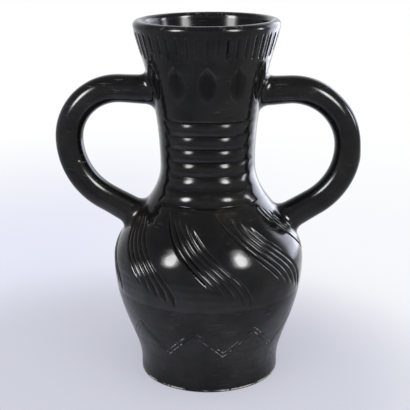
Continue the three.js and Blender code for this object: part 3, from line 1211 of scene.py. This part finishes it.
def zigzagShift(given, along, turn):
    wave = (turn * baseCut["zigzags"]).math("PINGPONG", 0.5) * 4.0 - 1.0
    away = (along - given["Zigzag Along"]).away()
    fade = (away * -1.0 + baseCut["fade"]) / (baseCut["fade"] - baseCut["fadeWhole"])
    return wave * baseCut["rise"] * fade.above().math("MINIMUM", 1.0)


def baseReliefs(given, here):
    fromMiddle = (here.along - given["Zigzag Along"]).away()
    lines = lineCut(fromMiddle - baseCut["lineGap"] / 2, baseCut["line"], given["Line Depth"])
    return lines * here.outside()


baseTree = wheelTree(
    "baseTurning",
    {"Zigzag Along": 0.1, "Line Depth": baseCut["depth"]},
    baseReliefs,
    shiftAt=zigzagShift,
)


def baseSpacing(height):
    past = max(0, abs(height - baseCut["middle"]) - baseRows["fineReach"])
    return min(baseRows["coarse"], baseRows["fine"] + past * baseRows["growth"])


def quarterArc(steps):  # sine and cosine at each step through a right angle
    angles = [math.pi / 2 * i / steps for i in range(1, steps + 1)]
    return [(math.sin(angle), math.cos(angle)) for angle in angles]


def makeBase():
    faceOuter = potSide["footRadius"] - baseCut["bevel"]
    faceInner = faceOuter - baseCut["ringWidth"]
    recess, bevel, fillet = baseCut["recess"], baseCut["bevel"], baseCut["fillet"]
    recessRadius = faceInner - recess
    rows = [plainRow(recessRadius * share, recess) for share in (0, 0.3, 0.6, 0.85, 1.0)]
    smallArc = quarterArc(baseRows["smallArc"])
    rows += [plainRow(recessRadius + recess * s, recess * c) for s, c in smallArc]
    for radius in (faceInner + baseRows["ringInner"], faceOuter - baseRows["ringOuter"], faceOuter):
        rows.append(plainRow(radius, 0))
    rows += [plainRow(faceOuter + bevel * s, bevel - bevel * c) for s, c in smallArc]
    rows += outerRows(2 * bevel, girthSeam, baseSpacing, jointHigh=True)
    zigzagAlong = baseAlong(rows, baseCut["middle"])
    rows += seamRows(girthSeam, outward=False)
    floorTop = recess + baseCut["floor"]
    filletTop = floorTop + fillet
    rows += innerRows(girthSeam, filletTop, baseCut["innerStep"])
    centre = innerRadius(filletTop) - fillet
    for s, c in quarterArc(baseRows["filletArc"]):
        rows.append(plainRow(centre + fillet * c, filletTop - fillet * s))
    rows += [plainRow(centre * share, floorTop) for share in (0.66, 0.33, 0.0)]
    piece = turnSection(
        "baseSection", rows, baseTree, baseCut["turns"], baseGlaze, Zigzag_Along=zigzagAlong
    )
    piece.data.materials.append(bareClay)
    for face in piece.data.polygons:
        if face.center.z < baseCut["bareHeight"]:
            face.material_index = 1
    return piece


basePiece = makeBase()
finishPiece(basePiece, "base_section")


# Coils pressed over the seams inside, with the marks of the thumb that pressed them

seamCoil = {
    "width": 11 * mm,
    "depth": 2.6 * mm,
    "thumbs": 26,
    "dent": 0.5 * mm,
    "slip": 0.4 * mm,  # between the coil and the wall
    "turns": 260,
    "backRows": 4,
    "frontRows": 8,
}


def thumbMarks(given, here):
    wave = (here.turn * (fullTurn * seamCoil["thumbs"])).math("COSINE") * 0.5 + 0.5
    return wave * given["Dent"] * here.face.away()


coilTree = wheelTree("seamCoilTurning", {"Dent": seamCoil["dent"]}, thumbMarks)


def makeSeamCoil(name, height):
    low, width, depth = height - seamCoil["width"] / 2, seamCoil["width"], seamCoil["depth"]
    rows = []
    for i in range(seamCoil["backRows"] + 1):
        level = low + width * i / seamCoil["backRows"]
        rows.append(plainRow(innerRadius(level) - seamCoil["slip"], level))
    for i in range(1, seamCoil["frontRows"]):
        share = 1 - i / seamCoil["frontRows"]
        level = low + width * share
        swell = math.sin(math.pi * share)
        radius = innerRadius(level) - seamCoil["slip"] - depth * swell
        rows.append((radius, level, -swell, Vector((-1, 0, 0))))
    rows.append(rows[0])
    return turnSection(name, rows, coilTree, seamCoil["turns"], insideGlaze)


finishPiece(makeSeamCoil("girthSeamCoil", girthSeam), "girth_seam_coil")
finishPiece(makeSeamCoil("neckSeamCoil", neckSeam), "neck_seam_coil")


# Handles: a rolled rod of clay along its bow

def rodTree():
    tree, given, result = shapeTree(
        "rolledRod",
        {
            "Geometry": "Geometry",
            "Radius": rod["radius"],
            "Root Swell": rod["rootSwell"],
            "Swell Length": rod["swellLength"],
            "Sides": rod["sides"],
            "Glaze": "Material",
        },
    )
    share = node(tree, "GeometryNodeSplineParameter", out="Factor")
    line = kept(given["Geometry"], "alongRod", share)
    section = node(
        tree,
        "GeometryNodeCurvePrimitiveCircle",
        out="Curve",
        Resolution=given["Sides"],
        Radius=given["Radius"],
    )
    shape = node(
        tree,
        "GeometryNodeCurveToMesh",
        out="Mesh",
        Curve=line,
        Profile_Curve=section,
        Fill_Caps=True,
    )
    along = named(tree, "alongRod")
    fromEnd = along.math("MINIMUM", along.flipped())
    swell = fromEnd.fall(0.0, given["Swell Length"]) * given["Root Swell"]
    normal = node(tree, "GeometryNodeInputNormal")
    endTree(moved(shape, Offset=normal.times(swell + handOffset(tree))), given, result)
    return tree


rolledRod = rodTree()


def straight(start, end):
    steps = max(2, round((end - start).length / rod["step"]))
    return [start.lerp(end, i / steps) for i in range(steps)]


def arc(centre, radius, fromAngle, toAngle):
    steps = round(abs(toAngle - fromAngle) * radius / rod["step"])
    points = []
    for i in range(steps):
        angle = fromAngle + (toAngle - fromAngle) * i / steps
        points.append(centre + radius * Vector((math.cos(angle), 0, math.sin(angle))))
    return points


def bowPoints(bow):
    upperCentre, lowerCentre, upperOut, lowerOut, bendStart, bendEnd = bowLine(bow)
    start = wallMeeting(bendStart, upperOut) - upperOut * rod["sunk"]
    end = wallMeeting(bendEnd, lowerOut) - lowerOut * rod["sunk"]
    quarter = math.pi / 2
    points = straight(start, bendStart)
    points += arc(upperCentre, bow["upperBend"], quarter + rod["upperRise"], 0)
    points += arc(lowerCentre, bow["lowerBend"], 0, rod["lowerFall"] - quarter)
    points += straight(bendEnd, end) + [end]
    return [mirrored(p, bow["side"]) for p in points]


def makeHandle(name, bow):
    curve = bpy.data.curves.new(name + "Path", "CURVE")
    curve.dimensions = "3D"
    points = bowPoints(bow)
    spline = curve.splines.new("POLY")
    spline.points.add(len(points) - 1)
    for place, p in zip(spline.points, points):
        place.co = (*p, 1)
    blank = addObject(name + "Path", curve)
    addModifier(blank, rolledRod, {"Glaze": handleGlaze})
    return bake(blank, name)


# Clay worked round a root: hollow outside, tangent to the rod and to the wall

rootFillet = {
    "upper": {"alongRod": 11 * mm, "onWall": 8 * mm},
    "lower": {"alongRod": 12 * mm, "onWall": 8.5 * mm},
    "start": 30 * mm,  # outside the wall, where the rays set out
    "rayLength": 0.2,
    "rayLift": 10 * mm,
    "backBulge": 3.0,  # how far the hidden side bends away, in corner depths
    "around": 120,
    "rows": 32,
    "sink": 0.02 * mm,
}


def filletTree():
    tree, given, result = shapeTree(
        "rootFillet",
        {
            "Wall": "Object",
            "Rod": "Object",
            "Start": "Vector",
            "Outward": "Vector",
            "Rod Radius": rod["radius"],
            "Along Rod": rootFillet["upper"]["alongRod"],
            "On Wall": rootFillet["upper"]["onWall"],
            "Sink": rootFillet["sink"],
            "Around": rootFillet["around"],
            "Rows": rootFillet["rows"],
            "Glaze": "Material",
        },
    )
    wall = node(tree, "GeometryNodeObjectInfo", out="Geometry", Object=given["Wall"])
    rolled = node(tree, "GeometryNodeObjectInfo", out="Geometry", Object=given["Rod"])
    grid, column, row = gridOf(tree, given["Around"] + 1, given["Rows"] + 1)
    loop = row / given["Rows"] * 2.0
    back = loop.math("GREATER_THAN", 1.0)
    share = loop - back
    angle = column / given["Around"] * fullTurn
    outward = given["Outward"]
    across = joined(tree, 0.0, 1.0, 0.0)
    up = outward.vector("CROSS_PRODUCT", across)
    spoke = across.times(angle.math("COSINE")).vector("ADD", up.times(angle.math("SINE")))

    def hit(target, source, direction):
        return node(
            tree,
            "GeometryNodeRaycast",
            out="Hit Position",
            Target_Geometry=target,
            Source_Position=source,
            Ray_Direction=direction,
            Ray_Length=rootFillet["rayLength"],
        )

    def wallHit(radius):
        source = given["Start"].vector("ADD", spoke.times(radius))
        return hit(wall, source, outward.times(-1.0))

    guess = wallHit(given["Rod Radius"]).vector("ADD", outward.times(given["Along Rod"]))
    lifted = guess.vector("ADD", spoke.times(rootFillet["rayLift"]))
    onRod = hit(rolled, lifted, spoke.times(-1.0))
    onRod = onRod.vector("SUBTRACT", spoke.times(given["Sink"]))
    fromStart = onRod.vector("SUBTRACT", given["Start"])
    corner = wallHit(fromStart.vector("DOT_PRODUCT", spoke))
    wallEdge = wallHit(given["Rod Radius"] + given["On Wall"])
    onWall = wallEdge.vector("SUBTRACT", outward.times(given["Sink"]))
    middle = mixVector(0.5, onRod, onWall)
    behind = mixVector(rootFillet["backBulge"], middle, corner)
    first = mixVector(back, onRod, onWall)
    control = mixVector(back, corner, behind)
    last = mixVector(back, onWall, onRod)
    bent = mixVector(share, mixVector(share, first, control), mixVector(share, control, last))
    endTree(welded(moved(grid, Position=bent)), given, result)
    return tree


def mixVector(share, first, second):
    span = second.vector("SUBTRACT", first)
    return first.vector("ADD", span.times(share))


filletWork = filletTree()


def makeFillet(name, root, sizes, wallPiece, handle):
    meeting, outward = root
    blank = addObject(name + "Blank", bpy.data.meshes.new(name + "Blank"))
    addModifier(
        blank,
        filletWork,
        {
            "Wall": wallPiece,
            "Rod": handle,
            "Start": meeting + outward * rootFillet["start"],
            "Outward": outward,
            "Rod Radius": rod["radius"] + rod["rootSwell"],
            "Along Rod": sizes["alongRod"],
            "On Wall": sizes["onWall"],
            "Glaze": handleGlaze,
        },
    )
    return bake(blank, name)


for name, bow in bows.items():
    handle = makeHandle(name + "Handle", bow)
    finishPiece(handle, name + "_handle")
    for level, wallPiece in (("upper", neckPiece), ("lower", shoulderPiece)):
        title = name + level.capitalize() + "RootCoil"
        coil = makeFillet(title, roots[name][level], rootFillet[level], wallPiece, handle)
        finishPiece(coil, f"{name}_{level}_root_coil")
print("handles joined")


# Studio: a pale sweep under and behind, two soft boxes in front, a narrow one and a pale card
# at the right, and a light overhead

studio = {
    "floorRadius": 1.6,
    "floorSides": 96,
    "floorColour": (0.58, 0.585, 0.655, 1),
    "floorRoughness": 0.7,
    # the floor's painted tone: painted shade around the pot and to the left, paling to white further
    # off
    "paintedShadeMiddle": (-0.07, -0.05),
    "shadowLift": 0.62,  # share of the painted floor tone near the pot; the rest is the lit floor, which keeps the pot's shadow
    "paintedToneReach": (0.15, 0.5),
    "mirroredReach": (0.12, 0.42),
    "paintedShadeNear": (0.645, 0.655, 0.745, 1),
    "paintedShadeLeft": (0.79, 0.81, 0.93, 1),
    "paintedShadeRight": (0.93, 0.94, 0.97, 1),
    "white": (1, 1, 1, 1),
    "sideReach": (-0.25, 0.2),
    "paintedShadeReach": (0.2, 0.4),
    "whiteReach": (0.45, 1.35),
    "ambient": 0.58,
    "mirroredAir": (0.94, 0.95, 1.0, 1),
    "frontLevel": 0.4,  # of what the glaze mirrors towards the front, near the floor
    "ceilingLevel": 0.2,
    "ceilingReach": (0.1, 0.75),
    "backLevel": 1.0,
    "backSwing": math.radians(169),
    "backReach": (0.42, 0.95),
    "target": Vector((0, 0, 0.5 * potHeight)),
}
lampFace = {"middle": (0.46, 0.66), "halo": 0.2, "rim": (0.7, 1.0), "cardEdge": (0.6, 1.0)}

# Swing is from the front towards the right, rise from level, and both are seen from the pot
lamps = {
    "softBoxLeft": {"swing": -50, "rise": 29, "away": 2.0, "size": (0.85, 1.4), "power": 57},
    "softBoxRight": {"swing": 43, "rise": 29, "away": 2.0, "size": (0.85, 1.4), "power": 57},
    "softBoxSide": {"swing": 90, "rise": 16, "away": 2.0, "size": (0.5, 1.0), "power": 14},
    "paleCard": {"swing": 130, "rise": 13, "away": 0.8, "size": (0.74, 0.86), "power": 6.6},
    "overhead": {"swing": 10, "rise": 66, "away": 1.9, "size": (1.9, 1.9), "power": 32},
}
lampColours = {"softBoxSide": (0.9, 0.93, 1), "paleCard": (0.8, 0.84, 1)}  # the rest are white


# Brightness over a lamp's face: a soft box has a bright middle, and a card only a soft edge
def shadeLamp(light, isBox):
    light.use_nodes = True
    tree = light.node_tree
    u, v, _ = parts(node(tree, "ShaderNodeNewGeometry", out="Parametric"))
    across = (u - 0.5).away() * 2.0
    up = (v - 0.5).away() * 2.0
    if isBox:
        fromMiddle = (across * across + up * up).math("SQRT")
        level = fromMiddle.ramp(*lampFace["middle"], 1.0, lampFace["halo"])
        level = level * fromMiddle.fall(*lampFace["rim"])
    else:
        edge = lampFace["cardEdge"]
        level = across.fall(*edge) * up.fall(*edge)
    feed(tree, tree.nodes["Emission"].inputs["Strength"], level)


# The overhead light falls on the sweep, and the others are what the glaze mirrors
def addLamp(name, lamp):
    light = bpy.data.lights.new(name, "AREA")
    isBox = name.startswith("softBox")
    light.shape = "ELLIPSE" if isBox else "RECTANGLE"
    light.size, light.size_y = lamp["size"]
    light.energy = lamp["power"]
    light.color = lampColours.get(name, (1, 1, 1))
    if name != "overhead":
        shadeLamp(light, isBox)
    made = addObject(name, light)
    swing, rise = math.radians(lamp["swing"]), math.radians(lamp["rise"])
    direction = Vector(
        (math.sin(swing) * math.cos(rise), -math.cos(swing) * math.cos(rise), math.sin(rise))
    )
    made.location = studio["target"] + direction * lamp["away"]
    made.rotation_mode = "QUATERNION"
    made.rotation_quaternion = direction.to_track_quat("Z", "Y")
    made.visible_camera = False
    made.visible_diffuse = name == "overhead"
    made.visible_glossy = name != "overhead"


# What the glaze mirrors: bright towards the sweep behind, dim towards the room in front
def mirrorLevel(x, y, front):
    swing = studio["backSwing"]
    towards = x * math.sin(swing) - y * math.cos(swing)
    return towards.ramp(*studio["backReach"], front, studio["backLevel"])


def rayKinds(tree):
    light = tree.nodes.new("ShaderNodeLightPath")
    return [Flow(tree, light.outputs[f"Is {kind} Ray"]) for kind in ("Camera", "Glossy")]


# The floor shows the camera a painted tone, with painted shade near the pot and to the left, mixed
# with the lit floor that keeps the pot's real shadow
def sweepMaterial():
    material, tree, shader = newMaterial("paleSweep")
    shader.inputs["Roughness"].default_value = studio["floorRoughness"]
    feed(tree, shader.inputs["Base Color"], studio["floorColour"])
    x, y, _ = parts(objectPlace(tree))
    middleX, middleY = studio["paintedShadeMiddle"]
    fromX = x - middleX
    fromY = y - middleY
    distance = (fromX * fromX + fromY * fromY).math("SQRT")
    shown = distance.ramp(*studio["paintedToneReach"], studio["shadowLift"], 1.0)
    mirrored = distance.ramp(*studio["mirroredReach"])
    camera, glossy = rayKinds(tree)
    side = x.ramp(*studio["sideReach"])
    further = mixColour(tree, side, studio["paintedShadeLeft"], studio["paintedShadeRight"])
    # painted shade near the pot and to the left, going over to white further off
    tone = mixColour(tree, distance.ramp(*studio["paintedShadeReach"]), studio["paintedShadeNear"], further)
    tone = mixColour(tree, distance.ramp(*studio["whiteReach"]), tone, studio["white"])
    level = mirrorLevel(fromX / distance, fromY / distance, studio["frontLevel"])
    glow = node(tree, "ShaderNodeEmission", Color=tone, Strength=camera + glossy * level)
    mix = tree.nodes.new("ShaderNodeMixShader")
    feed(tree, mix.inputs[0], (camera * shown + glossy * mirrored).math("MINIMUM", 1.0))
    tree.links.new(shader.outputs[0], mix.inputs[1])
    feed(tree, mix.inputs[2], glow)
    tree.links.new(mix.outputs[0], tree.nodes["Material Output"].inputs["Surface"])
    return material


def makeFloor():
    mesh = bpy.data.meshes.new("paleFloor")
    work = bmesh.new()
    bmesh.ops.create_circle(
        work, cap_ends=True, radius=studio["floorRadius"], segments=studio["floorSides"]
    )
    work.to_mesh(mesh)
    work.free()
    floor = addObject("paleFloor", mesh)
    mesh.materials.append(sweepMaterial())


def makeWorld():
    world = bpy.data.worlds.new("studioAir")
    bpy.context.scene.world = world
    world.use_nodes = True
    tree = world.node_tree
    tree.nodes.clear()
    x, y, z = parts(node(tree, "ShaderNodeTexCoord", out="Generated"))
    camera, glossy = rayKinds(tree)
    front = z.ramp(*studio["ceilingReach"], studio["frontLevel"], studio["ceilingLevel"])
    level = glossy * mirrorLevel(x, y, front) + glossy.flipped() * studio["ambient"]
    tint = mixColour(tree, camera, studio["mirroredAir"], studio["white"])
    strength = camera.math("MAXIMUM", level)
    air = node(tree, "ShaderNodeBackground", Color=tint, Strength=strength)
    end = tree.nodes.new("ShaderNodeOutputWorld")
    feed(tree, end.inputs["Surface"], air)


makeFloor()
makeWorld()
for name, lamp in lamps.items():
    addLamp(name, lamp)


# Camera, at the height, tilt and distance of the photograph's

camera = {
    "place": (-0.9 * mm, -1.0225, 0.4889),
    "tilt": math.radians(16.64),
    "roll": math.radians(0.447),
    "focal": 999.8,  # in widths of a pixel of a 410 pixel frame
    "frame": 410,
    "sensor": 36.0,
    "near": 0.05,
    "far": 50,
}


def makeCamera():
    data = bpy.data.cameras.new("photoCamera")
    data.sensor_width = camera["sensor"]
    data.lens = camera["sensor"] * camera["focal"] / camera["frame"]
    data.clip_start = camera["near"]
    data.clip_end = camera["far"]
    made = addObject("photoCamera", data)
    made.location = camera["place"]
    made.rotation_euler = (math.pi / 2 - camera["tilt"], camera["roll"], 0)
    bpy.context.scene.camera = made


makeCamera()
bpy.context.scene.view_settings.view_transform = "Standard"
print("studio set")
